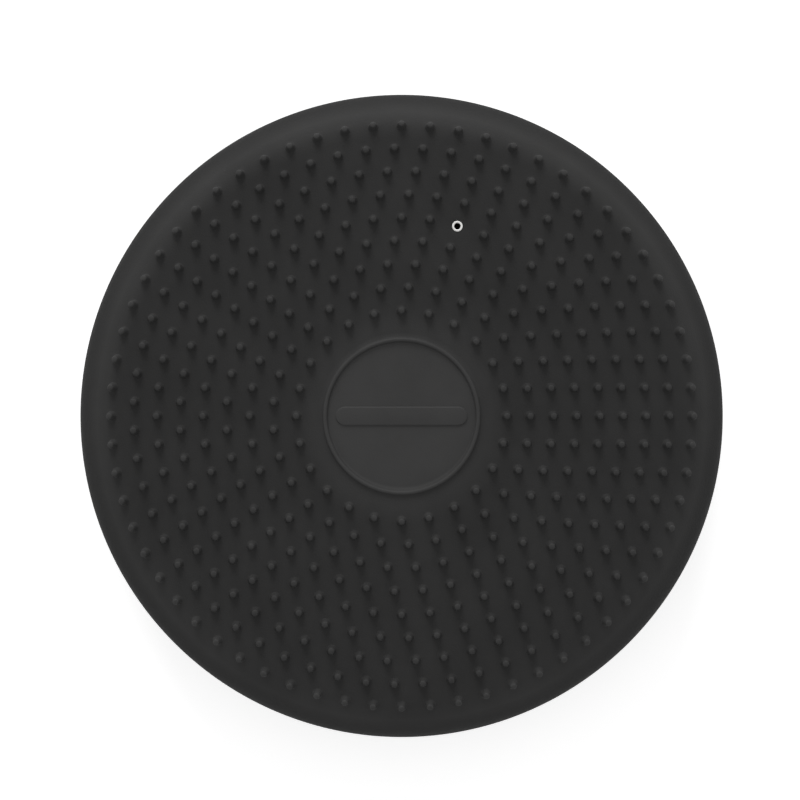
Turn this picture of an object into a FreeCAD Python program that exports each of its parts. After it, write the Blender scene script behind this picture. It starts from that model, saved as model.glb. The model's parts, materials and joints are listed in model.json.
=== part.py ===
"""Wobble cushion: a flat round air cushion for sitting or standing on.

Two moulded skins, one with rings of blunt studs and one with plain ribs, are welded
together at the equator. A needle valve sits in place of one stud. Millimetres, +Z up,
studded side up, origin on the floor under the middle of the disc.
"""
import FreeCAD, Part
import math
import os
import Sketcher
from FreeCAD import Placement, Rotation, Vector

DIMENSIONS = {
    # the closed form
    "disc_diameter": 330.0,
    "dome_radius": 3600.0,
    "edge_radius": 26.5,
    "skin_thickness": 3.5,
    "face_radius": 152.0,
    "weld_level": 30.6,
    "weld_half_height": 2.2,
    "bead_proud": 0.6,
    # medallion in the middle of the studded face
    "medallion_radius": 37.9,
    "lip_radius": 1.3,
    "panel_length": 65.0,
    "panel_width": 9.0,
    "panel_relief": 0.6,
    "panel_root": 1.0,
    # rings of studs; the skin's closing line runs at the seam angle, where no ring has a stud
    "seam_angle": 4.1,
    "first_ring_radius": 52.0,
    "ring_pitch": 11.52,
    "first_ring_studs": 24,
    "studs_added_per_ring": 5,
    "stud_height": 3.6,
    "stud_tip_radius": 1.7,
    "stud_shoulder_height": 2.8,
    "stud_foot_radius": 3.2,
    "stud_flare_radius": 14.0,
    "stud_root": 1.5,
    # underside
    "foot_radius": 41.0,
    "foot_flat_radius": 38.8,
    "rib_radius": 1.6,
    "rib_height": 1.0,
    # needle valve, measured along its own axis from the outer surface
    "sleeve_radius": 2.65,
    "sleeve_proud": 0.3,
    "sleeve_depth": 8.0,
    "needle_hole_radius": 1.4,
    "flange_radius": 9.0,
    "flange_thickness": 1.5,
    "flange_gap": 0.03,
    "housing_radius": 6.0,
    "housing_depth": 16.0,
    "core_radius": 4.2,
    "core_length": 6.0,
    "core_mouth_depth": 1.5,
}
RING_COUNT = 9
RIB_COUNT = 8
VALVE_RING = 4
VALVE_STEP = 9
UPPER = 1
LOWER = -1
HOLLOW_SHARE = 0.9
OVERLAP_LIMIT = 0.01

# Formulas that several sketches share, in the sheet's own names.
EDGE_CENTRE = "(Dims.disc_diameter / 2 - Dims.edge_radius)"
DOME_DROP = f"sqrt((Dims.dome_radius - Dims.edge_radius) ^ 2 - {EDGE_CENTRE} ^ 2)"
FIELD_RADIUS = "(Dims.medallion_radius + Dims.lip_radius)"
FIELD_LEVEL = f"Dims.weld_level - {DOME_DROP} + sqrt(Dims.dome_radius ^ 2 - {FIELD_RADIUS} ^ 2)"


class Form:
    """Places on the outer surface, worked out from the same driving dimensions."""

    def __init__(self, size):
        self.size = size
        self.edge_centre = size["disc_diameter"] / 2 - size["edge_radius"]
        reach = size["dome_radius"] - size["edge_radius"]
        self.drop = math.sqrt(reach ** 2 - self.edge_centre ** 2)
        self.tangent_radius = self.edge_centre * size["dome_radius"] / reach

    def height(self, radius, depth=0.0):
        """Height above the weld plane of a surface that lies depth below the outer one."""
        dome = self.size["dome_radius"] - depth
        edge = self.size["edge_radius"] - depth
        tangent_offset = (self.tangent_radius - self.edge_centre) * edge / self.size["edge_radius"]
        if radius < self.edge_centre + tangent_offset:
            return math.sqrt(dome ** 2 - radius ** 2) - self.drop
        return math.sqrt(edge ** 2 - (radius - self.edge_centre) ** 2)

    def on_dome(self, radius):
        return radius < self.tangent_radius

    def tilt(self, radius):
        """Angle in degrees between the surface normal and the vertical."""
        if self.on_dome(radius):
            return math.degrees(math.asin(radius / self.size["dome_radius"]))
        return math.degrees(math.asin((radius - self.edge_centre) / self.size["edge_radius"]))


def make_sheet(doc):
    sheet = doc.addObject("Spreadsheet::Sheet", "Dims")
    for row, (alias, value) in enumerate(DIMENSIONS.items(), start=1):
        sheet.set(f"A{row}", alias)
        sheet.set(f"B{row}", str(value))
        sheet.setAlias(f"B{row}", alias)
    doc.recompute()


def make_body(doc, name):
    body = doc.addObject("PartDesign::Body", name)
    body.Label = name
    return body


def origin_feature(body, role):
    return next(feature for feature in body.Origin.OriginFeatures if feature.Role == role)


def make_sketch(body, name, role="XZ_Plane"):
    sketch = body.newObject("Sketcher::SketchObject", name)
    sketch.AttachmentSupport = [(origin_feature(body, role), "")]
    sketch.MapMode = "FlatFace"
    return sketch


def end_at(sketch, edge, place):
    """Which end of an edge, 1 or 2, lies at a place."""
    return min((1, 2), key=lambda end: sketch.getPoint(edge, end).distanceToPoint(place))


def draw_outline(sketch, corners, middles, smooth=()):
    """Closed outline through the corners. An edge that has a middle point is an arc.

    The edges that meet at a smooth corner are tangent there.
    """
    count = len(corners)
    for edge, start in enumerate(corners):
        end = corners[(edge + 1) % count]
        if edge in middles:
            sketch.addGeometry(Part.Arc(start, middles[edge], end))
        else:
            sketch.addGeometry(Part.LineSegment(start, end))
    for edge in range(count):
        following = (edge + 1) % count
        corner = corners[following]
        kind = "Tangent" if following in smooth else "Coincident"
        relate(sketch, kind, edge, end_at(sketch, edge, corner), following, end_at(sketch, following, corner))


def drive(sketch, constraint, formula):
    number = sketch.addConstraint(constraint)
    sketch.setExpression(f"Constraints[{number}]", formula)


def drive_x(sketch, edge, end, value, formula):
    drive(sketch, Sketcher.Constraint("DistanceX", -1, 1, edge, end, value), formula)


def drive_y(sketch, edge, end, value, formula):
    drive(sketch, Sketcher.Constraint("DistanceY", -1, 1, edge, end, value), formula)


def drive_radius(sketch, edge, value, formula):
    drive(sketch, Sketcher.Constraint("Radius", edge, value), formula)


def relate(sketch, kind, *references):
    sketch.addConstraint(Sketcher.Constraint(kind, *references))


def revolve(body, sketch, name):
    turned = body.newObject("PartDesign::Revolution", name)
    turned.Profile = sketch
    turned.ReferenceAxis = (sketch, ["V_Axis"])
    turned.Angle = 360
    turned.Refine = False
    return turned


def arc_middle(centre, radius, start, end):
    """Point of a circle half way between two of its points."""
    direction = (start - centre).normalize() + (end - centre).normalize()
    return centre + direction.normalize() * radius


def section_points(form, side):
    """Corners that both skins share: face end, tangent points and the middle of the inside."""
    size = form.size
    weld = size["weld_level"]
    thickness = size["skin_thickness"]
    centre = Vector(form.edge_centre, weld, 0)
    dome_centre = Vector(0, weld - side * form.drop, 0)
    face_end = Vector(size["face_radius"], weld + side * form.height(size["face_radius"]), 0)
    outward = (face_end - centre).normalize()
    tangent = Vector(form.tangent_radius, weld + side * form.height(form.tangent_radius), 0)
    inward = (centre - tangent).normalize()
    return {
        "edge_centre": centre,
        "dome_centre": dome_centre,
        "face_end": face_end,
        "inner_face_end": face_end - outward * thickness,
        "tangent": tangent,
        "inner_tangent": tangent + inward * thickness,
        "inner_middle": Vector(0, weld + side * form.height(0.0, thickness), 0),
    }


def constrain_edge_arc(sketch, size, outer, inner):
    """Outer and inner arcs of the rounded edge, about one centre."""
    centre_x = size["disc_diameter"] / 2 - size["edge_radius"]
    inner_radius = size["edge_radius"] - size["skin_thickness"]
    drive_x(sketch, outer, 3, centre_x, EDGE_CENTRE)
    drive_y(sketch, outer, 3, size["weld_level"], "Dims.weld_level")
    drive_radius(sketch, outer, size["edge_radius"], "Dims.edge_radius")
    relate(sketch, "Coincident", outer, 3, inner, 3)
    drive_radius(sketch, inner, inner_radius, "Dims.edge_radius - Dims.skin_thickness")


def draw_face(sketch, form, side, rim_corners, rim_middles, rim_smooth=()):
    """Section of a face: what the rim corners outline near the axis, then dome, edge and inside.

    Returns the number of the dome's edge.
    """
    size = form.size
    points = section_points(form, side)
    rim = len(rim_corners)
    corners = rim_corners + [points["tangent"], points["face_end"], points["inner_face_end"],
                             points["inner_tangent"], points["inner_middle"]]
    edge_radius = size["edge_radius"]
    inner_edge = edge_radius - size["skin_thickness"]
    inner_dome = size["dome_radius"] - size["skin_thickness"]
    middles = dict(rim_middles)
    dome, edge, split, inner_arc, inner, axis = range(rim - 1, rim + 5)
    middles[dome] = arc_middle(points["dome_centre"], size["dome_radius"], rim_corners[-1], points["tangent"])
    middles[edge] = arc_middle(points["edge_centre"], edge_radius, points["tangent"], points["face_end"])
    middles[inner_arc] = arc_middle(points["edge_centre"], inner_edge,
                                    points["inner_face_end"], points["inner_tangent"])
    middles[inner] = arc_middle(points["dome_centre"], inner_dome,
                                points["inner_tangent"], points["inner_middle"])
    draw_outline(sketch, corners, middles, (*rim_smooth, edge, inner))
    constrain_edge_arc(sketch, size, edge, inner_arc)
    relate(sketch, "PointOnObject", dome, 3, -2)
    relate(sketch, "Coincident", dome, 3, inner, 3)
    drive_radius(sketch, dome, size["dome_radius"], "Dims.dome_radius")
    drive_x(sketch, edge, end_at(sketch, edge, points["face_end"]), size["face_radius"], "Dims.face_radius")
    relate(sketch, "PointOnObject", edge, 3, split)
    relate(sketch, "PointOnObject", axis, 1, -2)
    relate(sketch, "PointOnObject", axis, 2, -2)
    return dome


def draw_medallion_side(sketch, form):
    """Upper face: a level field, the half-round lip about it, then the dome."""
    size = form.size
    lip = size["lip_radius"]
    ring = size["medallion_radius"]
    level = size["weld_level"] + form.height(ring + lip)
    rim = [Vector(0, level, 0), Vector(ring - lip, level, 0), Vector(ring + lip, level, 0)]
    dome = draw_face(sketch, form, UPPER, rim, {1: Vector(ring, level + lip, 0)})
    field, lip_arc = dome - 2, dome - 1
    relate(sketch, "Horizontal", field)
    drive_x(sketch, lip_arc, 3, ring, "Dims.medallion_radius")
    drive_radius(sketch, lip_arc, lip, "Dims.lip_radius")
    relate(sketch, "Horizontal", lip_arc, 3, field, 2)
    relate(sketch, "Horizontal", lip_arc, 1, lip_arc, 2)


def draw_foot_side(sketch, form):
    """Lower face: a level foot, its rounded side, then the dome."""
    size = form.size
    flat = size["foot_flat_radius"]
    foot = size["foot_radius"]
    shoulder = Vector(foot, size["weld_level"] - form.height(foot), 0)
    lift = shoulder.y
    run = foot - flat
    round_radius = (run ** 2 + lift ** 2) / (2 * lift)
    round_centre = Vector(flat, round_radius, 0)
    rim = [Vector(0, 0, 0), Vector(flat, 0, 0), shoulder]
    middle = arc_middle(round_centre, round_radius, rim[1], rim[2])
    dome = draw_face(sketch, form, LOWER, rim, {1: middle}, (1,))
    flat_edge = dome - 2
    relate(sketch, "PointOnObject", flat_edge, 1, -1)
    relate(sketch, "Horizontal", flat_edge)
    drive_x(sketch, flat_edge, 2, flat, "Dims.foot_flat_radius")
    drive_x(sketch, dome, end_at(sketch, dome, shoulder), foot, "Dims.foot_radius")


def draw_wall(sketch, form, side):
    """Section of the soft wall, from the end of a face round to the weld."""
    size = form.size
    points = section_points(form, side)
    weld = size["weld_level"] + side * size["weld_half_height"]
    edge_radius = size["edge_radius"]
    inner_radius = edge_radius - size["skin_thickness"]
    half = size["weld_half_height"]
    outer_end = Vector(form.edge_centre + math.sqrt(edge_radius ** 2 - half ** 2), weld, 0)
    inner_end = Vector(form.edge_centre + math.sqrt(inner_radius ** 2 - half ** 2), weld, 0)
    corners = [points["face_end"], outer_end, inner_end, points["inner_face_end"]]
    middles = {
        0: arc_middle(points["edge_centre"], edge_radius, corners[0], corners[1]),
        2: arc_middle(points["edge_centre"], inner_radius, corners[2], corners[3]),
    }
    draw_outline(sketch, corners, middles)
    constrain_edge_arc(sketch, size, 0, 2)
    drive_x(sketch, 0, end_at(sketch, 0, corners[0]), size["face_radius"], "Dims.face_radius")
    relate(sketch, "PointOnObject", 0, 3, 3)
    relate(sketch, "Horizontal", 1)
    sign = "+" if side == UPPER else "-"
    drive_y(sketch, 1, 1, weld, f"Dims.weld_level {sign} Dims.weld_half_height")


def draw_weld(sketch, form):
    """Section of the weld: a band between the two walls with a low bead outside."""
    size = form.size
    half = size["weld_half_height"]
    level = size["weld_level"]
    outer = form.edge_centre + math.sqrt(size["edge_radius"] ** 2 - half ** 2)
    inner = form.edge_centre + math.sqrt((size["edge_radius"] - size["skin_thickness"]) ** 2 - half ** 2)
    corners = [Vector(inner, level - half, 0), Vector(outer, level - half, 0),
               Vector(outer, level + half, 0), Vector(inner, level + half, 0)]
    bead = size["disc_diameter"] / 2 + size["bead_proud"]
    draw_outline(sketch, corners, {1: Vector(bead, level, 0)})
    relate(sketch, "Horizontal", 0)
    relate(sketch, "Horizontal", 2)
    relate(sketch, "Vertical", 3)
    relate(sketch, "Vertical", 1, 1, 1, 2)
    drive_y(sketch, 0, 1, level - half, "Dims.weld_level - Dims.weld_half_height")
    drive_y(sketch, 2, 1, level + half, "Dims.weld_level + Dims.weld_half_height")
    drive_x(sketch, 0, 2, outer,
            f"{EDGE_CENTRE} + sqrt(Dims.edge_radius ^ 2 - Dims.weld_half_height ^ 2)")
    drive_x(sketch, 0, 1, inner,
            f"{EDGE_CENTRE} + sqrt((Dims.edge_radius - Dims.skin_thickness) ^ 2 - Dims.weld_half_height ^ 2)")
    sagitta = bead - outer
    drive_radius(sketch, 1, (half ** 2 + sagitta ** 2) / (2 * sagitta), bead_radius_formula())


def bead_radius_formula():
    rise = (f"(Dims.disc_diameter / 2 + Dims.bead_proud - {EDGE_CENTRE}"
            " - sqrt(Dims.edge_radius ^ 2 - Dims.weld_half_height ^ 2))")
    return f"(Dims.weld_half_height ^ 2 + {rise} ^ 2) / (2 * {rise})"


def ring_radius(size, ring):
    return size["first_ring_radius"] + ring * size["ring_pitch"]


def ring_studs(size, ring):
    return int(size["first_ring_studs"] + ring * size["studs_added_per_ring"])


def seat_sketch(sketch, form, ring):
    """Stands a sketch's own vertical axis on the surface normal at a ring of studs."""
    radius = ring_radius(form.size, ring)
    across = f"(Dims.first_ring_radius + {ring} * Dims.ring_pitch)"
    if form.on_dome(radius):
        height = f"Dims.weld_level - {DOME_DROP} + sqrt(Dims.dome_radius ^ 2 - {across} ^ 2)"
        tilt = f"-asin({across} / Dims.dome_radius)"
    else:
        height = f"Dims.weld_level + sqrt(Dims.edge_radius ^ 2 - ({across} - {EDGE_CENTRE}) ^ 2)"
        tilt = f"-asin(({across} - {EDGE_CENTRE}) / Dims.edge_radius)"
    level = form.size["weld_level"] + form.height(radius)
    turn = Rotation(Vector(0, 0, 1), -form.tilt(radius))
    sketch.AttachmentOffset = Placement(Vector(radius, level, 0), turn)
    sketch.setExpression(".AttachmentOffset.Base.x", across)
    sketch.setExpression(".AttachmentOffset.Base.y", height)
    sketch.setExpression(".AttachmentOffset.Rotation.Angle", tilt)


def draw_stud(sketch, size):
    """Half section of a blunt stud about the sketch's vertical axis, its root in the skin."""
    foot = size["stud_foot_radius"]
    tip = size["stud_tip_radius"]
    shoulder = size["stud_shoulder_height"]
    top = size["stud_height"]
    root = -size["stud_root"]
    flare = size["stud_flare_radius"]
    corners = [Vector(0, root, 0), Vector(foot, root, 0), Vector(tip, shoulder, 0), Vector(0, top, 0)]
    chord = corners[2] - corners[1]
    away = Vector(chord.y, -chord.x, 0).normalize()
    reach = math.sqrt(flare ** 2 - (chord.Length / 2) ** 2)
    flare_centre = corners[1] + chord * 0.5 + away * reach
    cap_radius = (tip ** 2 + (top - shoulder) ** 2) / (2 * (top - shoulder))
    cap_centre = Vector(0, top - cap_radius, 0)
    middles = {
        1: arc_middle(flare_centre, flare, corners[1], corners[2]),
        2: arc_middle(cap_centre, cap_radius, corners[2], corners[3]),
    }
    draw_outline(sketch, corners, middles)
    relate(sketch, "Horizontal", 0)
    relate(sketch, "PointOnObject", 3, 1, -2)
    relate(sketch, "PointOnObject", 3, 2, -2)
    relate(sketch, "PointOnObject", 2, 3, -2)
    drive_y(sketch, 0, 1, root, "-Dims.stud_root")
    drive_x(sketch, 0, 2, foot, "Dims.stud_foot_radius")
    drive_radius(sketch, 1, flare, "Dims.stud_flare_radius")
    drive_x(sketch, 1, end_at(sketch, 1, corners[2]), tip, "Dims.stud_tip_radius")
    drive_y(sketch, 1, end_at(sketch, 1, corners[2]), shoulder, "Dims.stud_shoulder_height")
    drive_y(sketch, 3, 1, top, "Dims.stud_height")


def repeat_around(body, feature, name, occurrences, angle, backwards=False):
    """Copies of a feature round the disc's axis. The pattern reads its base, so that comes first."""
    body.Document.recompute()
    pattern = body.newObject("PartDesign::PolarPattern", name)
    pattern.Originals = [feature]
    pattern.Axis = (origin_feature(body, "Z_Axis"), [""])
    pattern.setExpression("Occurrences", occurrences)
    pattern.setExpression("Angle", angle)
    pattern.Reversed = backwards
    pattern.Refine = False
    body.Tip = pattern


def add_stud_ring(body, form, ring):
    """One stud of the ring, then its copies round the disc's axis."""
    sketch = make_sketch(body, f"stud_section_{ring + 1}")
    seat_sketch(sketch, form, ring)
    draw_stud(sketch, form.size)
    stud = revolve(body, sketch, f"stud_{ring + 1}")
    studs = f"(Dims.first_ring_studs + {ring} * Dims.studs_added_per_ring)"
    if ring != VALVE_RING:
        repeat_around(body, stud, f"stud_ring_{ring + 1}", studs, "360")
        return
    # The valve takes one stud's place, so this ring runs up to it from both sides.
    before, sweep_before = f"{VALVE_STEP}", f"{VALVE_STEP - 1} * 360 / {studs}"
    repeat_around(body, stud, f"stud_ring_{ring + 1}_before_valve", before, sweep_before)
    after, sweep_after = f"{studs} - {VALVE_STEP}", f"({studs} - {VALVE_STEP} - 1) * 360 / {studs}"
    repeat_around(body, stud, f"stud_ring_{ring + 1}_after_valve", after, sweep_after, True)


def add_panel(body, form):
    """Blank raised panel with round ends across the medallion."""
    size = form.size
    half_width = size["panel_width"] / 2
    reach = size["panel_length"] / 2 - half_width
    sketch = make_sketch(body, "panel_outline", "XY_Plane")
    level = size["weld_level"] + form.height(size["medallion_radius"] + size["lip_radius"])
    sketch.AttachmentOffset = Placement(Vector(0, 0, level - size["panel_root"]), Rotation())
    sketch.setExpression(".AttachmentOffset.Base.z", f"{FIELD_LEVEL} - Dims.panel_root")
    corners = [Vector(-reach, -half_width, 0), Vector(reach, -half_width, 0),
               Vector(reach, half_width, 0), Vector(-reach, half_width, 0)]
    ends = {1: Vector(reach + half_width, 0, 0), 3: Vector(-reach - half_width, 0, 0)}
    draw_outline(sketch, corners, ends, range(len(corners)))
    relate(sketch, "Horizontal", 0)
    relate(sketch, "Equal", 1, 3)
    relate(sketch, "Symmetric", 1, 3, 3, 3, -1, 1)
    drive_radius(sketch, 1, half_width, "Dims.panel_width / 2")
    drive_x(sketch, 1, 3, reach, "Dims.panel_length / 2 - Dims.panel_width / 2")
    panel = body.newObject("PartDesign::Pad", "panel")
    panel.Profile = sketch
    panel.setExpression("Length", "Dims.panel_root + Dims.panel_relief")
    panel.Refine = False


def valve_seat(form):
    """Placement at the valve: its own +Z is the outward normal of the skin there."""
    radius = ring_radius(form.size, VALVE_RING)
    angle = VALVE_STEP * 360 / ring_studs(form.size, VALVE_RING)
    level = form.size["weld_level"] + form.height(radius)
    lean = Placement(Vector(radius, 0, level), Rotation(Vector(0, 1, 0), form.tilt(radius)))
    return Placement(Vector(), Rotation(Vector(0, 0, 1), angle)).multiply(lean)


def add_cylinder(body, kind, name, radius, bottom, top, seat=Placement()):
    """PartDesign cylinder between two heights along its own axis, sizes given as formulas."""
    cylinder = body.newObject(f"PartDesign::{kind}Cylinder", name)
    cylinder.Placement = seat
    cylinder.setExpression("Radius", radius)
    cylinder.setExpression("Height", f"{top} - ({bottom})")
    if seat.isIdentity():
        cylinder.setExpression(".Placement.Base.z", bottom)
    return cylinder


def make_studded_face(doc, form):
    size = form.size
    body = make_body(doc, "studded_face")
    section = make_sketch(body, "face_section")
    section.AttachmentOffset = Placement(Vector(), Rotation(Vector(0, 1, 0), size["seam_angle"]))
    section.setExpression(".AttachmentOffset.Rotation.Angle", "Dims.seam_angle")
    draw_medallion_side(section, form)
    revolve(body, section, "skin")
    for ring in range(RING_COUNT):
        add_stud_ring(body, form, ring)
    add_panel(body, form)
    depth = size["skin_thickness"] + size["sleeve_radius"]
    seat = valve_seat(form).multiply(Placement(Vector(0, 0, -depth), Rotation()))
    body.Tip = add_cylinder(body, "Subtractive", "valve_hole", "Dims.sleeve_radius",
                            "-(Dims.skin_thickness + Dims.sleeve_radius)", "Dims.sleeve_radius", seat)
    return body


def make_smooth_face(doc, form):
    size = form.size
    body = make_body(doc, "smooth_face")
    section = make_sketch(body, "face_section")
    draw_foot_side(section, form)
    revolve(body, section, "skin")
    ribs = make_sketch(body, "rib_sections")
    sunk = size["rib_radius"] - size["rib_height"]
    for rib in range(RIB_COUNT):
        radius = ring_radius(size, rib)
        level = size["weld_level"] - form.height(radius, sunk)
        circle = Part.Circle(Vector(radius, level, 0), Vector(0, 0, 1), size["rib_radius"])
        ribs.addGeometry(circle)
        across = f"(Dims.first_ring_radius + {rib} * Dims.ring_pitch)"
        arc = "(Dims.dome_radius - Dims.rib_radius + Dims.rib_height)"
        drive_x(ribs, rib, 3, radius, across)
        drive_y(ribs, rib, 3, level, f"Dims.weld_level + {DOME_DROP} - sqrt({arc} ^ 2 - {across} ^ 2)")
        drive_radius(ribs, rib, size["rib_radius"], "Dims.rib_radius")
    body.Tip = revolve(body, ribs, "ribs")
    return body


def make_wall(doc, form, name, side):
    body = make_body(doc, name)
    section = make_sketch(body, "wall_section")
    draw_wall(section, form, side)
    revolve(body, section, "wall")
    return body


def make_weld_ring(doc, form):
    body = make_body(doc, "weld_ring")
    section = make_sketch(body, "weld_section")
    draw_weld(section, form)
    revolve(body, section, "weld")
    return body


def make_valve_housing(doc, form):
    """Black boss welded under the skin: a flange, and a tube that holds sleeve and core."""
    body = make_body(doc, "valve_housing")
    top = "-(Dims.skin_thickness + Dims.flange_gap)"
    flange_bottom = f"({top} - Dims.flange_thickness)"
    bottom = "-Dims.housing_depth"
    add_cylinder(body, "Additive", "flange", "Dims.flange_radius", flange_bottom, top)
    add_cylinder(body, "Additive", "tube", "Dims.housing_radius", bottom, top)
    add_cylinder(body, "Subtractive", "sleeve_bore", "Dims.sleeve_radius", bottom, top)
    body.Tip = add_cylinder(body, "Subtractive", "core_bore", "Dims.core_radius", bottom, "-Dims.sleeve_depth")
    body.Placement = valve_seat(form)
    return body


def make_valve_sleeve(doc, form):
    """White lining of the needle hole. Outside it shows as a small ring, just proud of the skin."""
    body = make_body(doc, "valve_sleeve")
    bottom = "-Dims.sleeve_depth"
    add_cylinder(body, "Additive", "sleeve", "Dims.sleeve_radius", bottom, "Dims.sleeve_proud")
    body.Tip = add_cylinder(body, "Subtractive", "needle_hole", "Dims.needle_hole_radius",
                            bottom, "Dims.sleeve_proud")
    body.Placement = valve_seat(form)
    return body


def make_valve_core(doc, form):
    """Self-sealing plug that closes the needle hole, with a shallow round mouth."""
    body = make_body(doc, "valve_core")
    top = "-Dims.sleeve_depth"
    add_cylinder(body, "Additive", "plug", "Dims.core_radius", f"({top} - Dims.core_length)", top)
    body.Tip = add_cylinder(body, "Subtractive", "mouth", "Dims.needle_hole_radius",
                            f"({top} - Dims.core_mouth_depth)", top)
    body.Placement = valve_seat(form)
    return body


def check(doc, bodies):
    """Stops on any failed object, and on a sub-part that isn't one valid solid."""
    for item in doc.Objects:
        if "Invalid" in item.State or "Error" in item.State:
            raise RuntimeError(f"{item.Name}: {item.State}")
    for body in bodies:
        shape = body.Shape
        if shape.isNull() or not shape.isValid() or len(shape.Solids) != 1:
            raise RuntimeError(f"{body.Label}: bad shape")
        print(f"{body.Label}: {shape.Volume / 1000:.2f} cm3, {len(shape.Faces)} faces")


def check_fits(bodies):
    """Stops if the needle hole, or the hole in the skin that takes the sleeve, wasn't cut."""
    by_name = {body.Label: body.Shape for body in bodies}
    sleeve = by_name["valve_sleeve"]
    length = DIMENSIONS["sleeve_depth"] + DIMENSIONS["sleeve_proud"]
    full = math.pi * DIMENSIONS["sleeve_radius"] ** 2 * length
    if sleeve.Volume > HOLLOW_SHARE * full:
        raise RuntimeError("needle hole wasn't cut")
    overlap = by_name["studded_face"].common(sleeve).Volume
    if overlap > OVERLAP_LIMIT:
        raise RuntimeError(f"valve hole wasn't cut: {overlap:.3f} mm3 left in it")


def main():
    doc = FreeCAD.newDocument("wobble_cushion")
    make_sheet(doc)
    form = Form(DIMENSIONS)
    bodies = [
        make_studded_face(doc, form),
        make_wall(doc, form, "upper_wall", UPPER),
        make_weld_ring(doc, form),
        make_wall(doc, form, "lower_wall", LOWER),
        make_smooth_face(doc, form),
        make_valve_housing(doc, form),
        make_valve_sleeve(doc, form),
        make_valve_core(doc, form),
    ]
    doc.recompute()
    check(doc, bodies)
    check_fits(bodies)
    os.makedirs("parts", exist_ok=True)
    for body in bodies:
        body.Shape.exportStep(os.path.join("parts", f"{body.Label}.step"))


main()
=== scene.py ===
"""Looks of the wobble cushion: two soft skins, the weld between them and the needle valve.

Lengths are in metres. Heights on the skins are measured from the weld plane, and turned
into the row frame by raise_to_frame. A place on the studded skin is given by its distance
along the surface from the middle, and its angle about the disc's axis.
"""
import json
import math
import random

import bmesh
import bpy
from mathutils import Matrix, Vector

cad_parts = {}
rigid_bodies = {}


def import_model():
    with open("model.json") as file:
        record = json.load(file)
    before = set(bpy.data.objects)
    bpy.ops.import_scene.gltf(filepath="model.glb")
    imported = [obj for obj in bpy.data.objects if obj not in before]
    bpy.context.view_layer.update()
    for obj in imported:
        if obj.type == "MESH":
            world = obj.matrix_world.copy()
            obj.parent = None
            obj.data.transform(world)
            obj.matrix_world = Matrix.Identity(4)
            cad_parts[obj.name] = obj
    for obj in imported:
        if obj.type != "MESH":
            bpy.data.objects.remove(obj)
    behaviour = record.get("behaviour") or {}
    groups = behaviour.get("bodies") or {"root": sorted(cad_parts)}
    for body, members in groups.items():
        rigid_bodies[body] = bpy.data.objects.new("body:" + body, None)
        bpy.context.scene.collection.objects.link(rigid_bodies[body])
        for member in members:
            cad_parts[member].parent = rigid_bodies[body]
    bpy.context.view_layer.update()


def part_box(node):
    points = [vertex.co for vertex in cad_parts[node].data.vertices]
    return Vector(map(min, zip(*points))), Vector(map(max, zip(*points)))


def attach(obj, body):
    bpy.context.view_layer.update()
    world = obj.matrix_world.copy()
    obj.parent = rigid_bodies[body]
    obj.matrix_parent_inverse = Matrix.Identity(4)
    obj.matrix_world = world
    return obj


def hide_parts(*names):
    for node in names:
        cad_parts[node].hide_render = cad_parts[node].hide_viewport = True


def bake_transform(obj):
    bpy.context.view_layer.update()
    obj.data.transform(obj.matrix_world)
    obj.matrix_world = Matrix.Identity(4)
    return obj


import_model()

MM = 0.001
TINY = 1e-12

# the disc's section
DISC_RADIUS = 165.0 * MM
DOME_RADIUS = 3600.0 * MM
EDGE_RADIUS = 26.5 * MM
SKIN = 3.5 * MM
EDGE_CENTRE = DISC_RADIUS - EDGE_RADIUS
TANGENT_LEAN = math.asin(EDGE_CENTRE / (DOME_RADIUS - EDGE_RADIUS))
DOME_DROP = (DOME_RADIUS - EDGE_RADIUS) * math.cos(TANGENT_LEAN)
weld_low, weld_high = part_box("weld_ring")
WELD_LEVEL = (weld_low.z + weld_high.z) / 2

# medallion
MEDALLION_RADIUS = 37.9 * MM
LIP = 1.3 * MM
LIP_FILLET = 0.3 * MM
PANEL_REACH = 28.0 * MM
PANEL_HALF_WIDTH = 4.5 * MM
PANEL_RELIEF = 0.6 * MM
PANEL_EDGE_ROUND = 0.42 * MM
FIELD_DIP = 0.1 * MM
FIELD_DIP_START = 30.0 * MM
MEDALLION_SEGMENTS = 144
LIP_LOOPS = 9
LIP_SIDE = 3
LIP_SPAN = (math.pi * 0.92, math.pi * 0.08)

# rings of studs
RINGS = 9
FIRST_RING = 52.0 * MM
RING_PITCH = 11.52 * MM
FIRST_RING_STUDS = 24
ADDED_STUDS = 5
CELL_HALF = 5.5 * MM
CELL_SIDE = 5
CELL_LOOP = 4 * CELL_SIDE
STUD_HEIGHT = 3.6 * MM
STUD_FOOT = 2.35 * MM
STUD_FILLET = 0.7 * MM
STUD_SHOULDER = 1.55 * MM
STUD_ROUND = 0.7 * MM
STUD_LEAN = 0.015
STUD_GROWTH = (0.97, 1.02)
TIP_LOOPS = 3
# the loop between a cell's square outline and what stands in it: its size against that of
# the round foot or hole, and how far it is drawn towards the outline
STUD_EASE = (1.35, 0.25)
SEAT_EASE = (1.9, 0.2)
VALVE_RING = 4
VALVE_STEP = 9

# weld bead
BEAD_HALF_HEIGHT = 2.2 * MM
BEAD_PROUD = 0.6 * MM
BEAD_SUNK = 0.5 * MM
BEAD_WAVES = (7, 13, 29, 53)

# underside
FOOT_FLAT = 38.8 * MM
FOOT_RADIUS = 41.0 * MM
RIBS = 8
RIB_RADIUS = 1.6 * MM
RIB_HEIGHT = 1.0 * MM

# vertices round a turn, where the rings of studs don't set their number
REVOLVED_SEGMENTS = 240
BEAD_SEGMENTS = 480
VALVE_SEGMENTS = 64
MIDDLE_SEGMENTS = 96

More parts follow.
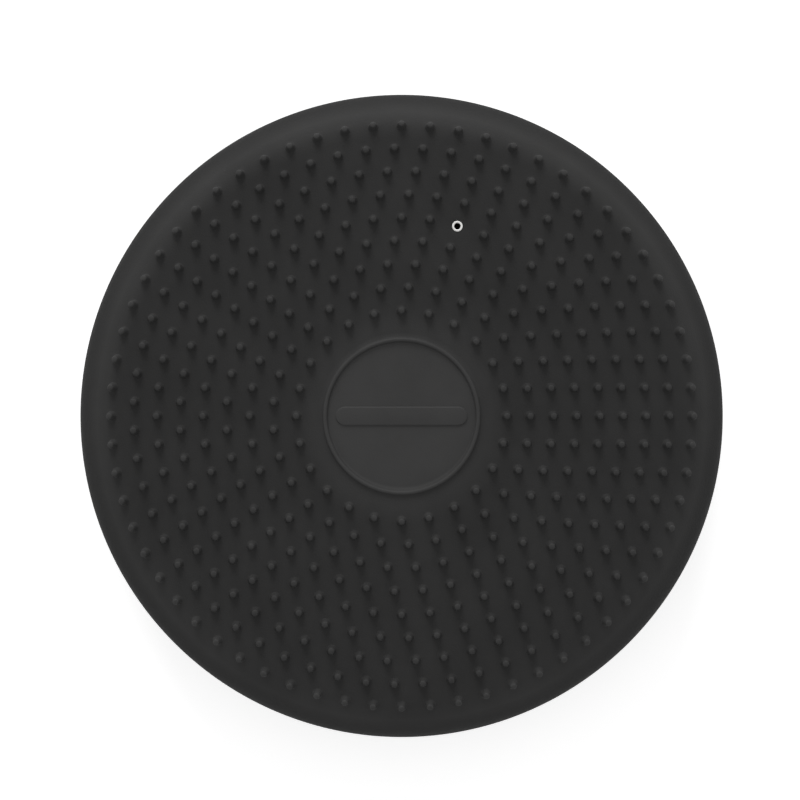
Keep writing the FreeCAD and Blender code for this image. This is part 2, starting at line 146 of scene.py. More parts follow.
# valve
SEAT_RADIUS = 2.75 * MM
SEAT_LIP = 0.6 * MM
SLEEVE_RADIUS = 2.65 * MM
NEEDLE_HOLE = 1.4 * MM
SLEEVE_MOUTH = 1.6 * MM
SLEEVE_DEPTH = 8.0 * MM
SLEEVE_PROUD = 0.3 * MM
SLEEVE_LIP = 0.35 * MM
FUNNEL_DEPTH = 0.6 * MM

# camera
CAMERA_HEIGHT = 0.7
CAMERA_ASIDE = 0.0015
CAMERA_FILLED = 0.8024
CAMERA_SHIFT = (-0.0020, 0.0201)

# light
SURROUNDINGS = 0.93
OVERHEAD = 0.45
FLOOR_GLOW = 0.6
FLOOR_RADIUS = 30.0
FLOOR_SIDES = 64
KEY_PLACE = (-0.7, 4.6, 1.7)
KEY_SIZE = 3.0
KEY_POWER = 165

# painted light and shade on the moulded skin by radius, not its own colour: painted shade among the
# studs, painted light on the shoulder and painted shade near the weld, each from one tone to another,
# between two radii
PAINTED_SHADE_AMONG_STUDS = (0.98, 0.82, 44 * MM, 55 * MM)
PAINTED_LIGHT_ON_SHOULDER = (0.0, 0.14, 139 * MM, 147 * MM)
PAINTED_SHADE_NEAR_WELD = (0.0, -0.78, 152 * MM, 164.5 * MM)

# a noise node's values lie mostly between these
NOISE_RANGE = (0.3, 0.7)

# moulded skin: scales of its clouds, specks and grain, in turns per metre, and its reflectance
CLOUDS = 28.0
SPECKS = 900.0
GRAIN = 1400.0
SKIN_SPECULAR = 0.03

random.seed(11)


def raise_to_frame(radius, angle, height):
    return Vector((radius * math.cos(angle), radius * math.sin(angle), WELD_LEVEL + height))


def meridian(distance, depth=0.0):
    """Radius, height and lean of the normal, depth below the outer surface."""
    lean = distance / DOME_RADIUS
    if lean <= TANGENT_LEAN:
        reach = DOME_RADIUS - depth
        return reach * math.sin(lean), reach * math.cos(lean) - DOME_DROP, lean
    lean = TANGENT_LEAN + (distance - TANGENT_LEAN * DOME_RADIUS) / EDGE_RADIUS
    reach = EDGE_RADIUS - depth
    return EDGE_CENTRE + reach * math.sin(lean), reach * math.cos(lean), lean


def distance_at(radius):
    """Distance along the outer surface from the middle to a radius."""
    if radius <= DOME_RADIUS * math.sin(TANGENT_LEAN):
        return DOME_RADIUS * math.asin(radius / DOME_RADIUS)
    lean = math.asin((radius - EDGE_CENTRE) / EDGE_RADIUS)
    return TANGENT_LEAN * DOME_RADIUS + (lean - TANGENT_LEAN) * EDGE_RADIUS


WELD_DISTANCE = TANGENT_LEAN * DOME_RADIUS + (math.pi / 2 - TANGENT_LEAN) * EDGE_RADIUS
FIELD_LEVEL = meridian(distance_at(MEDALLION_RADIUS + LIP))[1]


def skin_point(distance, angle, depth=0.0):
    radius, height, _ = meridian(distance, depth)
    return raise_to_frame(radius, angle, height)


def skin_normal(distance, angle):
    lean = meridian(distance)[2]
    flat = math.sin(lean)
    return Vector((flat * math.cos(angle), flat * math.sin(angle), math.cos(lean)))


def spread(start, end, count):
    """count values evenly from start to end, both included."""
    return [start + (end - start) * step / (count - 1) for step in range(count)]


class Sheet:
    """Vertices and faces of one piece while it is made."""

    def __init__(self):
        self.points = []
        self.faces = []
        self.zones = []

    def add(self, point):
        self.points.append(point)
        return len(self.points) - 1

    def loop(self, points):
        return [self.add(point) for point in points]

    def face(self, corners, zone=0):
        self.faces.append(tuple(corners))
        self.zones.append(zone)

    def bridge(self, first, second, zone=0):
        """Quads between two closed loops of one count."""
        count = len(first)
        for index in range(count):
            following = (index + 1) % count
            self.face((first[index], second[index], second[following], first[following]), zone)

    def zip(self, first, second, zone=0):
        """Triangles between two closed loops of different counts that start at one angle."""
        a, b = 0, 0
        while a < len(first) or b < len(second):
            here, there = first[a % len(first)], second[b % len(second)]
            first_is_behind = (a + 1) * len(second) <= (b + 1) * len(first)
            if b == len(second) or (a < len(first) and first_is_behind):
                a += 1
                self.face((here, there, first[a % len(first)]), zone)
            else:
                b += 1
                self.face((here, there, second[b % len(second)]), zone)

    def fan(self, loop, point, zone=0):
        centre = self.add(point)
        count = len(loop)
        for index in range(count):
            self.face((centre, loop[index], loop[(index + 1) % count]), zone)

    def rungs(self, loop, zone=0):
        """Fills a loop that is the same on both sides of its long axis."""
        count = len(loop)
        for index in range(count // 2):
            opposite = (count - index) % count
            corners = (loop[index], loop[index + 1], loop[opposite - 1], loop[opposite])
            # at the two ends both sides share a vertex, which is kept once
            self.face(dict.fromkeys(corners), zone)

    def make(self, name, materials):
        mesh = bpy.data.meshes.new(name)
        mesh.from_pydata([tuple(point) for point in self.points], [], self.faces)
        for material in materials:
            mesh.materials.append(material)
        mesh.polygons.foreach_set("material_index", self.zones)
        tidy = bmesh.new()
        tidy.from_mesh(mesh)
        bmesh.ops.recalc_face_normals(tidy, faces=tidy.faces)
        tidy.to_mesh(mesh)
        tidy.free()
        mesh.polygons.foreach_set("use_smooth", [True] * len(mesh.polygons))
        piece = bpy.data.objects.new(name, mesh)
        bpy.context.scene.collection.objects.link(piece)
        return piece


def circle(sheet, radius, height, segments):
    turn = 2 * math.pi / segments
    return sheet.loop(raise_to_frame(radius, index * turn, height) for index in range(segments))


def skin_circle(sheet, distance, segments, depth=0.0):
    radius, height, _ = meridian(distance, depth)
    return circle(sheet, radius, height, segments)


def chain(sheet, loops, zone=0):
    for first, second in zip(loops, loops[1:]):
        sheet.bridge(first, second, zone)


# ---------------------------------------------------------------- medallion


def stadium_point(share, half_width):
    """Point of the panel's outline, share of the way round it from its +X tip."""
    side = 2 * PANEL_REACH
    quarter = math.pi / 2 * half_width
    along = share * 2 * (side + 2 * quarter)
    for direction, start_angle in ((1, 0.0), (-1, math.pi)):
        # from a tip: a quarter round, a straight side, and a quarter round to the other tip
        centre = direction * PANEL_REACH
        if along <= quarter + TINY:
            angle = start_angle + along / half_width
            return Vector((centre + half_width * math.cos(angle), half_width * math.sin(angle)))
        along -= quarter
        if along <= side:
            return Vector((centre - direction * along, direction * half_width))
        along -= side
        if along <= quarter:
            angle = start_angle + math.pi / 2 + along / half_width
            return Vector((-centre + half_width * math.cos(angle), half_width * math.sin(angle)))
        along -= quarter
    return Vector((PANEL_REACH + half_width, 0))


def panel_loop(sheet, grow, height):
    """Loop about the panel, its outline grown on every side."""
    half_width = PANEL_HALF_WIDTH + grow
    shares = [index / MEDALLION_SEGMENTS for index in range(MEDALLION_SEGMENTS)]
    places = [stadium_point(share, half_width) for share in shares]
    level = WELD_LEVEL + FIELD_LEVEL + height
    return sheet.loop(Vector((place.x, place.y, level)) for place in places)


def field_loop(sheet, share):
    """Loop between the panel's outline and the foot of the lip."""
    inner = PANEL_HALF_WIDTH + 2 * LIP_FILLET
    outer = MEDALLION_RADIUS - LIP - LIP_FILLET
    points = []
    for index in range(MEDALLION_SEGMENTS):
        turn = index / MEDALLION_SEGMENTS
        start = stadium_point(turn, inner)
        angle = 2 * math.pi * turn
        end = Vector((outer * math.cos(angle), outer * math.sin(angle)))
        place = start.lerp(end, share)
        outward = (place.length - FIELD_DIP_START) / (outer - FIELD_DIP_START)
        dip = FIELD_DIP * min(1, max(0, outward)) ** 1.5
        points.append(Vector((place.x, place.y, WELD_LEVEL + FIELD_LEVEL - dip)))
    return sheet.loop(points)


def add_medallion(sheet):
    """Blank panel, level field and half-round lip. Returns the outermost loop."""
    loops = []
    for angle in spread(math.pi / 2, 0, 5):
        inset = PANEL_EDGE_ROUND * (1 - math.cos(angle))
        drop = PANEL_EDGE_ROUND * (1 - math.sin(angle))
        loops.append(panel_loop(sheet, -inset, PANEL_RELIEF - drop))
    sheet.rungs(loops[0], 1)
    loops.append(panel_loop(sheet, 0.1 * MM, 0.1 * MM))
    loops.append(panel_loop(sheet, LIP_FILLET, 0.0))
    loops += [field_loop(sheet, share) for share in (*spread(0, 0.95, 7), 1)]
    chain(sheet, loops, 1)
    lip = [loops[-1]]
    for angle in spread(*LIP_SPAN, LIP_LOOPS):
        radius = MEDALLION_RADIUS + LIP * math.cos(angle)
        lip.append(circle(sheet, radius, FIELD_LEVEL + LIP * math.sin(angle), MEDALLION_SEGMENTS))
    beyond = distance_at(MEDALLION_RADIUS + LIP + LIP_FILLET)
    lip.append(skin_circle(sheet, beyond, MEDALLION_SEGMENTS))
    lip.append(skin_circle(sheet, beyond + 2 * MM, MEDALLION_SEGMENTS))
    # the crest takes the paler tip material, a painted highlight, against the lip's sides
    chain(sheet, lip[:LIP_SIDE + 1])
    chain(sheet, lip[LIP_SIDE:-LIP_SIDE - 1], 2)
    chain(sheet, lip[-LIP_SIDE - 2:])
    return lip[-1]


# ---------------------------------------------------------------- studs


def ring_distance(ring):
    return distance_at(FIRST_RING + ring * RING_PITCH)


def ring_studs(ring):
    return FIRST_RING_STUDS + ring * ADDED_STUDS


def stud_outline():
    """Radius and height of a stud's loops: a fillet at the foot, a leaning side, a round tip."""
    outline = []
    for angle in spread(-math.pi / 2, -math.pi * 0.95, 4):
        fillet_radius = STUD_FOOT + STUD_FILLET * (1 + math.cos(angle))
        outline.append((fillet_radius, STUD_FILLET * (1 + math.sin(angle))))
    shoulder = STUD_HEIGHT - STUD_ROUND
    foot_radius, foot_height = outline[-1]
    outline.append(((foot_radius + STUD_SHOULDER) / 2, (foot_height + shoulder) / 2))
    for angle in spread(0.15, math.pi / 2 * 0.8, 4):
        crown = STUD_SHOULDER - STUD_ROUND + STUD_ROUND * math.cos(angle)
        outline.append((crown, shoulder + STUD_ROUND * math.sin(angle)))
    return outline


def cell_directions():
    """Unit directions of a cell's loop, from its inner corner and anticlockwise."""
    angles = [math.radians(-135) + index * 2 * math.pi / CELL_LOOP for index in range(CELL_LOOP)]
    return [(math.cos(angle), math.sin(angle)) for angle in angles]


class Ring:
    """One ring of square cells, its edges shared by neighbouring cells."""

    def __init__(self, sheet, ring, depth=0.0):
        self.sheet = sheet
        self.depth = depth
        self.middle = ring_distance(ring)
        self.studs = ring_studs(ring)
        self.turn = 2 * math.pi / self.studs
        self.start = self.middle - CELL_HALF
        self.end = self.middle + CELL_HALF
        self.inner = self.circle_at(self.start)
        self.outer = self.circle_at(self.end)
        self.sides = [self.side_at(index) for index in range(self.studs)]

    def circle_at(self, distance):
        count = self.studs * CELL_SIDE
        # cells are centred on the studs, so their corners are half a cell back
        return self.sheet.loop(skin_point(distance, (index / CELL_SIDE - 0.5) * self.turn, self.depth)
                               for index in range(count))

    def side_at(self, index):
        angle = (index - 0.5) * self.turn
        distances = spread(self.start, self.end, CELL_SIDE + 1)[1:-1]
        return self.sheet.loop(skin_point(distance, angle, self.depth) for distance in distances)

    def outline(self, index):
        """The loop of vertices round one cell, from its inner corner and anticlockwise."""
        first = index * CELL_SIDE
        after = (index + 1) % self.studs
        outer = [self.outer[(first + step) % len(self.outer)] for step in range(CELL_SIDE + 1)]
        inner = [self.inner[(first + step) % len(self.inner)] for step in range(CELL_SIDE + 1)]
        return [inner[0], *self.sides[index], *outer, *reversed(self.sides[after]), *reversed(inner[1:])]

    def round_loop(self, index, radius, rise, up, blend_out=0.0):
        """Loop about a cell's middle, raised along up and blended towards the cell's outline."""
        angle = index * self.turn
        corner = self.turn / 2
        around = meridian(self.middle)[0]
        points = []
        for step, (along, across) in enumerate(cell_directions()):
            side_along, side_across = cell_edge(step)
            reach = radius * along * (1 - blend_out) + side_along * CELL_HALF * blend_out
            sweep = radius * across / around * (1 - blend_out) + side_across * corner * blend_out
            place = skin_point(self.middle + reach, angle + sweep, self.depth)
            points.append(place + up * rise)
        return self.sheet.loop(points)


def cell_edge(step):
    """Place of a cell outline's vertex, from -1 to 1 along and across."""
    side, part = divmod(step, CELL_SIDE)
    slide = -1 + 2 * part / CELL_SIDE
    return ((slide, -1), (1, slide), (-slide, 1), (-1, -slide))[side]


def add_stud(sheet, ring, index):
    outline = stud_outline()
    angle = index * ring.turn
    up = skin_normal(ring.middle, angle)
    up += Vector((random.uniform(-STUD_LEAN, STUD_LEAN), random.uniform(-STUD_LEAN, STUD_LEAN), 0))
    up.normalize()
    growth = random.uniform(*STUD_GROWTH)
    wider, blend_out = STUD_EASE
    loops = [ring.outline(index), ring.round_loop(index, outline[0][0] * wider, 0, up, blend_out)]
    loops += [ring.round_loop(index, radius, rise * growth, up) for radius, rise in outline]
    chain(sheet, loops[:-TIP_LOOPS])
    # the tip's loops take the paler tip material: a painted highlight
    chain(sheet, loops[-TIP_LOOPS - 1:], 2)
    tip = skin_point(ring.middle, angle) + up * STUD_HEIGHT * growth
    sheet.fan(loops[-1], tip, 2)


def add_seat(sheet, ring, index):
    """The valve's hole, from the cell's outline down to the inside of the skin."""
    up = skin_normal(ring.middle, index * ring.turn)
    wider, blend_out = SEAT_EASE
    loops = [ring.outline(index), ring.round_loop(index, SEAT_RADIUS * wider, 0, up, blend_out)]
    # the rounded mouth, from its outermost loop, level with the skin, down into the hole
    for angle in spread(math.pi / 2, 0, 4):
        radius = SEAT_RADIUS + SEAT_LIP * (1 - math.cos(angle))
        loops.append(ring.round_loop(index, radius, SEAT_LIP * (math.sin(angle) - 1), up))
    loops.append(ring.round_loop(index, SEAT_RADIUS, -SKIN / 2, up))
    loops.append(ring.round_loop(index, SEAT_RADIUS, -SKIN, up))
    chain(sheet, loops)
    return loops[-1]


def add_studded_zone(sheet):
    """All rings of studs. Returns the rings, and the loop at the foot of the valve's hole."""
    rings = [Ring(sheet, number) for number in range(RINGS)]
    hole = None
    for number, ring in enumerate(rings):
        for index in range(ring.studs):
            if (number, index) == (VALVE_RING, VALVE_STEP):
                hole = add_seat(sheet, ring, index)
            else:
                add_stud(sheet, ring, index)
    for inner, outer in zip(rings, rings[1:]):
        sheet.zip(inner.outer, outer.inner)
    return rings, hole


# ---------------------------------------------------------------- skins


def add_grid_cell(sheet, ring, index, inside):
    """Plain quads across one cell, row by row along its sides."""
    first = index * CELL_SIDE
    after = (index + 1) % ring.studs
    rows = [[ring.inner[(first + step) % len(ring.inner)] for step in range(CELL_SIDE + 1)]]
    for row in range(CELL_SIDE - 1):
        rows.append([ring.sides[index][row], *inside[row], ring.sides[after][row]])
    rows.append([ring.outer[(first + step) % len(ring.outer)] for step in range(CELL_SIDE + 1)])
    for lower, upper in zip(rows, rows[1:]):
        for step in range(CELL_SIDE):
            sheet.face((lower[step], upper[step], upper[step + 1], lower[step + 1]))


def add_inside(sheet, rim, hole):
    """Inner surface of the studded skin, from the weld to the middle, with the valve's hole."""
    ring = Ring(sheet, VALVE_RING, SKIN)
    for index in range(ring.studs):
        if index == VALVE_STEP:
            sheet.bridge(ring.outline(index), hole)
            continue
        inside = []
        for distance in spread(ring.start, ring.end, CELL_SIDE + 1)[1:-1]:
            angles = [(index - 0.5 + step / CELL_SIDE) * ring.turn for step in range(1, CELL_SIDE)]
            inside.append(sheet.loop(skin_point(distance, angle, SKIN) for angle in angles))
        add_grid_cell(sheet, ring, index, inside)
    loops = [rim]
    for distance in spread(WELD_DISTANCE, WELD_DISTANCE - 40 * MM, 12)[1:]:
        loops.append(skin_circle(sheet, distance, len(rim), SKIN))
    chain(sheet, loops)
    sheet.zip(ring.outer, turned(loops[-1], ring))
    middle = [skin_circle(sheet, distance, MIDDLE_SEGMENTS, SKIN) for distance in (80 * MM, 40 * MM)]
    sheet.zip(turned(middle[0], ring), ring.inner)
    chain(sheet, middle)
    sheet.fan(middle[-1], raise_to_frame(0, 0, meridian(0, SKIN)[1]))


def turned(loop, ring):
    """A loop's vertices, started at the one nearest to where a ring's cells start."""
    steps = round(-0.5 * ring.turn / (2 * math.pi) * len(loop))
    return loop[steps:] + loop[:steps]


def make_studded_skin():
    sheet = Sheet()
    medallion = add_medallion(sheet)
    rings, hole = add_studded_zone(sheet)
    sheet.zip(turned(medallion, rings[0]), rings[0].inner)
    last = rings[-1]
    loops = [last.outer]
    for distance in spread(last.end, WELD_DISTANCE, 15)[1:]:
        loops.append(last.circle_at(distance))
    chain(sheet, loops)
    rim = skin_circle(sheet, WELD_DISTANCE, len(last.outer), SKIN)
    sheet.bridge(loops[-1], turned(rim, last))
    add_inside(sheet, rim, hole)
    return sheet.make("studded_skin", [skin_material(), medallion_painted_light_material(), tip_painted_highlight_material()])


def revolved(name, outline, segments, materials):
    """Closed solid of revolution. The outline's (radius, height) pairs start and end on the axis."""
    sheet = Sheet()
    loops = [circle(sheet, radius, height, segments) for radius, height in outline[1:-1]]
    chain(sheet, loops)
    sheet.fan(loops[0], raise_to_frame(0, 0, outline[0][1]))
    sheet.fan(loops[-1], raise_to_frame(0, 0, outline[-1][1]))
    return sheet.make(name, materials)


def rib_lift(distance):
    """How far a rib stands above the underside at a distance from the middle."""
    lift = 0.0
    sunk = RIB_RADIUS - RIB_HEIGHT
    for rib in range(RIBS):
        off = abs(distance - ring_distance(rib))
        if off < RIB_RADIUS:
            lift = max(lift, math.sqrt(RIB_RADIUS ** 2 - off ** 2) - sunk)
    return lift


def underside_distances():
    """Distances of the underside's loops: close together over ribs, wide apart between them."""
    half = math.sqrt(RIB_RADIUS ** 2 - (RIB_RADIUS - RIB_HEIGHT) ** 2)
    distances = [distance_at(FOOT_RADIUS)]
    for rib in range(RIBS):
        middle = ring_distance(rib)
        distances += spread(middle - 1.2 * half, middle + 1.2 * half, 11)
    distances += spread(distances[-1] + 4 * MM, WELD_DISTANCE, 22)
    return distances


def make_smooth_skin():
    """Lower skin: level foot, round ribs, rounded edge, and the inside."""
    shoulder = meridian(distance_at(FOOT_RADIUS))[1]
    lift = WELD_LEVEL - shoulder
    run = FOOT_RADIUS - FOOT_FLAT
    outline = [(0, -WELD_LEVEL)]
    for share in spread(0.2, 1, 4):
        outline.append((FOOT_FLAT * share, -WELD_LEVEL))
    for angle in spread(0, math.pi / 2, 6)[1:-1]:
        rise = lift * (1 - math.cos(angle))
        outline.append((FOOT_FLAT + run * math.sin(angle), rise - WELD_LEVEL))
    for distance in underside_distances():
        radius, height, lean = meridian(distance)
        rise = rib_lift(distance)
        outline.append((radius + rise * math.sin(lean), -height - rise * math.cos(lean)))
    for distance in spread(WELD_DISTANCE, 20 * MM, 34):
        radius, height, _ = meridian(distance, SKIN)
        outline.append((radius, -height))
    outline.append((0, -meridian(0, SKIN)[1]))
    return revolved("smooth_skin", outline, REVOLVED_SEGMENTS, [skin_material()])


def make_weld_bead():
    """Low bead over the weld, a little uneven as a real weld is."""
    sheet = Sheet()
    waves = [(wave, random.uniform(0, 2 * math.pi), random.uniform(0.3, 1.0)) for wave in BEAD_WAVES]
    loops = []
    for turn in spread(0, 2 * math.pi, 13)[:-1]:
        points = []
        for index in range(BEAD_SEGMENTS):
            angle = 2 * math.pi * index / BEAD_SEGMENTS
            ripple = sum(size * math.sin(wave * angle + phase) for wave, phase, size in waves)
            out = (BEAD_PROUD if math.cos(turn) > 0 else BEAD_SUNK) * math.cos(turn)
            height = BEAD_HALF_HEIGHT * math.sin(turn) * (0.9 + 0.03 * ripple)
            sag = EDGE_RADIUS - math.sqrt(EDGE_RADIUS ** 2 - height ** 2)
            radius = DISC_RADIUS - sag + out * (0.94 + 0.02 * ripple)
            points.append(raise_to_frame(radius, angle, height))
        loops.append(sheet.loop(points))
    chain(sheet, loops + loops[:1])
    return sheet.make("weld_bead", [weld_painted_shade_material()])


# ---------------------------------------------------------------- valve


def make_needle_sleeve():
    """White lining of the needle hole: a rounded lip, a small funnel and the hole."""
    middle = (SLEEVE_RADIUS + SLEEVE_MOUTH) / 2
    width = SLEEVE_RADIUS - middle
    outline = [(SLEEVE_RADIUS, -SLEEVE_DEPTH), (SLEEVE_RADIUS, -SLEEVE_LIP)]
    for angle in spread(0, math.pi, 9):
        height = SLEEVE_PROUD - SLEEVE_LIP + SLEEVE_LIP * math.sin(angle)
        outline.append((middle + width * math.cos(angle), height))
    white_loops = len(outline)
    outline += [(NEEDLE_HOLE, -FUNNEL_DEPTH), (NEEDLE_HOLE, -SLEEVE_DEPTH)]
    sheet = Sheet()
    angle = VALVE_STEP * 2 * math.pi / ring_studs(VALVE_RING)
    distance = ring_distance(VALVE_RING)
    origin = skin_point(distance, angle)
    up = skin_normal(distance, angle)
    out = Vector((up.z * math.cos(angle), up.z * math.sin(angle), -math.hypot(up.x, up.y)))
    side = up.cross(out)
    loops = []
    for radius, height in outline:
        points = []
        for index in range(VALVE_SEGMENTS):
            turn = 2 * math.pi * index / VALVE_SEGMENTS
            points.append(origin + (out * math.cos(turn) + side * math.sin(turn)) * radius + up * height)
        loops.append(sheet.loop(points))
    chain(sheet, loops[:white_loops])
    chain(sheet, loops[white_loops - 1:] + loops[:1], 1)
    return sheet.make("needle_sleeve", [white_rubber(), black_rubber()])


# ---------------------------------------------------------------- materials


class Shader:
    """Short way to make and join the nodes of one material."""

    made = {}

    def __init__(self, name):
        self.material = bpy.data.materials.new(name)
        self.material.use_nodes = True
        self.nodes = self.material.node_tree.nodes
        self.links = self.material.node_tree.links
        self.surface = self.nodes["Principled BSDF"]
        self.place = self.nodes.new("ShaderNodeTexCoord").outputs["Object"]

    def join(self, source, target):
        self.links.new(source, target)

    def noise(self, scale, detail=3.0, roughness=0.5):
        node = self.nodes.new("ShaderNodeTexNoise")
        node.inputs["Scale"].default_value = scale
        node.inputs["Detail"].default_value = detail
        node.inputs["Roughness"].default_value = roughness
        self.join(self.place, node.inputs["Vector"])
        return node.outputs["Fac"]

    def cells(self, scale):
        node = self.nodes.new("ShaderNodeTexVoronoi")
        node.feature = "SMOOTH_F1"
        node.inputs["Scale"].default_value = scale
        self.join(self.place, node.inputs["Vector"])
        return node.outputs["Distance"]

    def span(self, source, low, high, start=0.0, end=1.0):
        """Maps a value from start..end to low..high."""
        node = self.nodes.new("ShaderNodeMapRange")
        node.inputs["From Min"].default_value = start
        node.inputs["From Max"].default_value = end
        node.inputs["To Min"].default_value = low
        node.inputs["To Max"].default_value = high
        self.join(source, node.inputs["Value"])
        return node.outputs["Result"]

    def math(self, operation, first, second):
        node = self.nodes.new("ShaderNodeMath")
        node.operation = operation
        for socket, value in zip(node.inputs, (first, second)):
            if isinstance(value, (int, float)):
                socket.default_value = value
            else:
                self.join(value, socket)
        return node.outputs["Value"]

    def colours(self, source, stops):
        node = self.nodes.new("ShaderNodeValToRGB")
        ramp = node.color_ramp
        for index, (position, colour) in enumerate(stops):
            element = ramp.elements[index] if index < 2 else ramp.elements.new(position)
            element.position = position
            element.color = (*colour, 1)
        self.join(source, node.inputs["Fac"])
        self.join(node.outputs["Color"], self.surface.inputs["Base Color"])

    def zone_tone(self):
        """Painted light and shade on the skin by radius: painted shade among the studs, painted light on
        the shoulder, and painted shade darkest near the weld.
        """
        flat = self.nodes.new("ShaderNodeVectorMath")
        flat.operation = "MULTIPLY"
        flat.inputs[1].default_value = (1, 1, 0)
        self.join(self.place, flat.inputs[0])
        radius = self.nodes.new("ShaderNodeVectorMath")
        radius.operation = "LENGTH"
        self.join(flat.outputs["Vector"], radius.inputs[0])
        distance = radius.outputs["Value"]
        # painted shade among the studs, painted light on the shoulder and painted shade near the weld,
        # added together
        shade_among_studs = self.span(distance, *PAINTED_SHADE_AMONG_STUDS)
        light_on_shoulder = self.span(distance, *PAINTED_LIGHT_ON_SHOULDER)
        shade_near_weld = self.span(distance, *PAINTED_SHADE_NEAR_WELD)
        return self.math("ADD", self.math("ADD", shade_among_studs, light_on_shoulder), shade_near_weld)

    def relief(self, height, distance, strength=1.0):
        node = self.nodes.new("ShaderNodeBump")
        node.inputs["Distance"].default_value = distance
        node.inputs["Strength"].default_value = strength
        self.join(height, node.inputs["Height"])
        self.join(node.outputs["Normal"], self.surface.inputs["Normal"])


def grey(value, warmth=0.0):
    return (value * (1 + warmth), value, value * (1 - warmth))


def moulded_pvc(name, colour, roughness, grain):
    """Matte moulded PVC: fine eggshell grain, faint clouding, a soft, uneven shine, and painted light
    and shade by radius.
    """
    if name in Shader.made:
        return Shader.made[name]
    shader = Shader(name)
    clouds = shader.noise(CLOUDS, 4.0, 0.6)
    # the faint clouding times the painted light and shade by radius
    tone = shader.math("MULTIPLY", shader.span(clouds, 0.92, 1.08, *NOISE_RANGE), shader.zone_tone())
    shader.colours(tone, [(0.0, grey(0.0)), (1.0, grey(colour, 0.005))])
    specks = shader.noise(SPECKS, 2.0)
    cloudy_shine = shader.span(clouds, -0.04, 0.04, *NOISE_RANGE)
    speckled_shine = shader.span(specks, -0.05, 0.05, *NOISE_RANGE)
    shine = shader.math("ADD", cloudy_shine, speckled_shine)
    shader.join(shader.math("ADD", shine, roughness), shader.surface.inputs["Roughness"])
    texture = shader.math("ADD", shader.cells(GRAIN), shader.math("MULTIPLY", specks, 0.6))
    shader.relief(texture, grain)
    shader.surface.inputs["Specular IOR Level"].default_value = SKIN_SPECULAR
    Shader.made[name] = shader.material
    return shader.material


def skin_material():
    return moulded_pvc("skin_pvc", 0.045, 0.6, 0.00006)


def medallion_painted_light_material():
    # the base colour, paler than the skin's, is painted light on the open, level medallion
    return moulded_pvc("medallion_pvc_painted_light", 0.0565, 0.55, 0.00003)


def tip_painted_highlight_material():
    """The studs' tips, smoother than the rest, and paler by a painted highlight; the medallion lip's
    crest takes it too.
    """
    return moulded_pvc("tip_pvc_painted_highlight", 0.057, 0.45, 0.00003)


def weld_painted_shade_material():
    # base colour much darker than the weld's own colour: painted shade along the disc's outermost edge
    return moulded_pvc("weld_pvc_painted_shade", 0.018, 0.6, 0.00004)


def valve_rubber(name, shades, shine, cloud_scale, grain_scale, grain):
    """Cast rubber: cloudy between two shades and between two roughnesses, with a fine grain."""
    if name in Shader.made:
        return Shader.made[name]
    shader = Shader(name)
    clouds = shader.noise(cloud_scale, 3.0)
    shader.colours(clouds, list(zip(NOISE_RANGE, shades)))
    shader.join(shader.span(clouds, *shine, *NOISE_RANGE), shader.surface.inputs["Roughness"])
    shader.relief(shader.noise(grain_scale, 2.0), grain)
    Shader.made[name] = shader.material
    return shader.material


def white_rubber():
    shades = ((0.88, 0.87, 0.85), (0.95, 0.94, 0.92))
    return valve_rubber("white_valve_rubber", shades, (0.42, 0.56), 600.0, 2600.0, 0.00003)


def black_rubber():
    shades = (grey(0.008), grey(0.014))
    return valve_rubber("black_valve_rubber", shades, (0.5, 0.65), 500.0, 2200.0, 0.00004)


def paint_node(name, material):
    """Gives a CAD node that stays visible a better material."""
    for node in bpy.context.scene.objects:
        if node.type == "MESH" and node.name == name:
            for slot in node.material_slots:
                slot.material = material


# ---------------------------------------------------------------- stage


def make_floor():
    sheet = Sheet()
    turns = spread(0, 2 * math.pi, FLOOR_SIDES + 1)[:-1]
    directions = [Vector((math.cos(turn), math.sin(turn), 0)) for turn in turns]
    rim = sheet.loop(direction * FLOOR_RADIUS for direction in directions)
    sheet.fan(rim, Vector((0, 0, 0)))
    shader = Shader("pale_floor")
    shader.surface.inputs["Base Color"].default_value = (0.85, 0.85, 0.85, 1)
    shader.surface.inputs["Roughness"].default_value = 0.8
    shader.surface.inputs["Specular IOR Level"].default_value = 0.1
    shader.surface.inputs["Emission Color"].default_value = (1, 1, 1, 1)
    shader.surface.inputs["Emission Strength"].default_value = FLOOR_GLOW
    sheet.make("floor", [shader.material])


def make_light(name, place, aim, width, power):
    light = bpy.data.lights.new(name, "AREA")
    light.shape = "DISK"
    light.size = width
    light.energy = power
    holder = bpy.data.objects.new(name, light)
    holder.location = place
    holder.rotation_euler = (Vector(aim) - Vector(place)).to_track_quat("-Z", "Y").to_euler()
    bpy.context.scene.collection.objects.link(holder)


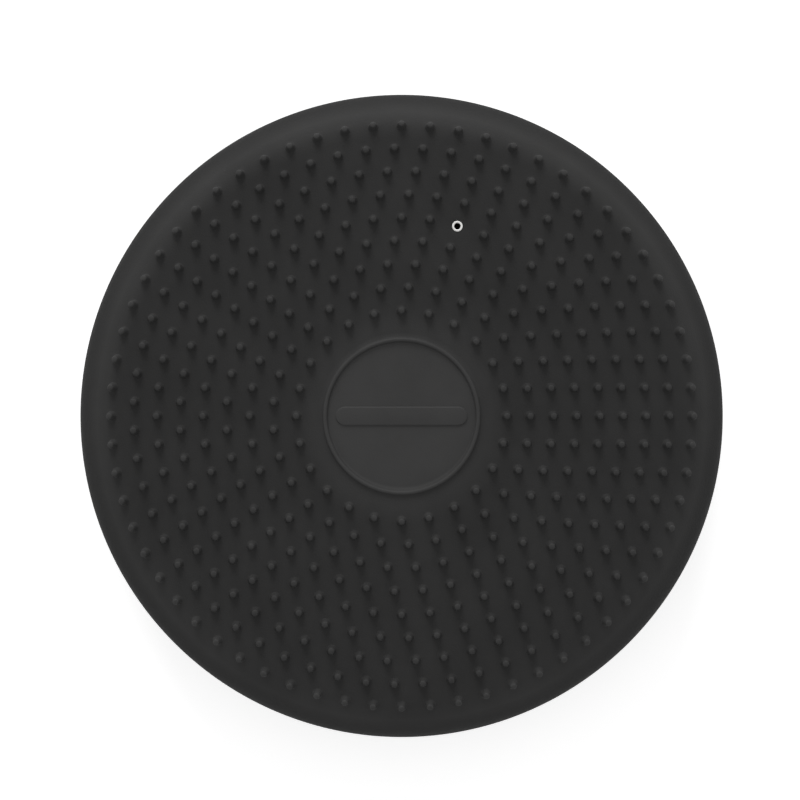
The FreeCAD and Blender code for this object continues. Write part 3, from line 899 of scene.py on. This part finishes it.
def make_surroundings():
    """A pale studio: bright all round at the height of the table, dimmer overhead."""
    world = bpy.data.worlds.new("studio")
    bpy.context.scene.world = world
    world.use_nodes = True
    nodes, links = world.node_tree.nodes, world.node_tree.links
    background = nodes["Background"]
    direction = nodes.new("ShaderNodeTexCoord").outputs["Generated"]
    parts = nodes.new("ShaderNodeSeparateXYZ")
    links.new(direction, parts.inputs["Vector"])
    ramp = nodes.new("ShaderNodeValToRGB")
    ramp.color_ramp.elements[0].position = 0.0
    ramp.color_ramp.elements[0].color = (1, 1, 1, 1)
    ramp.color_ramp.elements[1].position = 0.9
    ramp.color_ramp.elements[1].color = (OVERHEAD, OVERHEAD, OVERHEAD, 1)
    links.new(parts.outputs["Z"], ramp.inputs["Fac"])
    links.new(ramp.outputs["Color"], background.inputs["Color"])
    background.inputs["Strength"].default_value = SURROUNDINGS


def make_camera():
    """Above the disc, a little to the light's side of its axis, looking at its middle."""
    camera = bpy.data.cameras.new("camera")
    camera.sensor_width = 36.0
    camera.lens = CAMERA_FILLED * camera.sensor_width * CAMERA_HEIGHT / (2 * (DISC_RADIUS + BEAD_PROUD))
    camera.shift_x, camera.shift_y = CAMERA_SHIFT
    camera.clip_end = 50.0
    holder = bpy.data.objects.new("camera", camera)
    holder.location = (0, CAMERA_ASIDE, WELD_LEVEL + CAMERA_HEIGHT)
    holder.rotation_euler = (-math.atan(CAMERA_ASIDE / CAMERA_HEIGHT), 0, 0)
    bpy.context.scene.collection.objects.link(holder)
    bpy.context.scene.camera = holder


def main():
    make_camera()
    make_floor()
    make_surroundings()
    make_light("key", KEY_PLACE, (0, 0, 0), KEY_SIZE, KEY_POWER)

    studded = make_studded_skin()
    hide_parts("studded_face", "upper_wall")
    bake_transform(studded)

    smooth = make_smooth_skin()
    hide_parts("smooth_face", "lower_wall")
    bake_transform(smooth)

    bead = make_weld_bead()
    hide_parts("weld_ring")
    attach(bead, "ring")

    sleeve = make_needle_sleeve()
    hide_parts("valve_sleeve")
    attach(sleeve, "top")

    for name in ("valve_housing", "valve_core"):
        paint_node(name, black_rubber())

    bpy.context.scene.view_settings.view_transform = "Standard"


main()
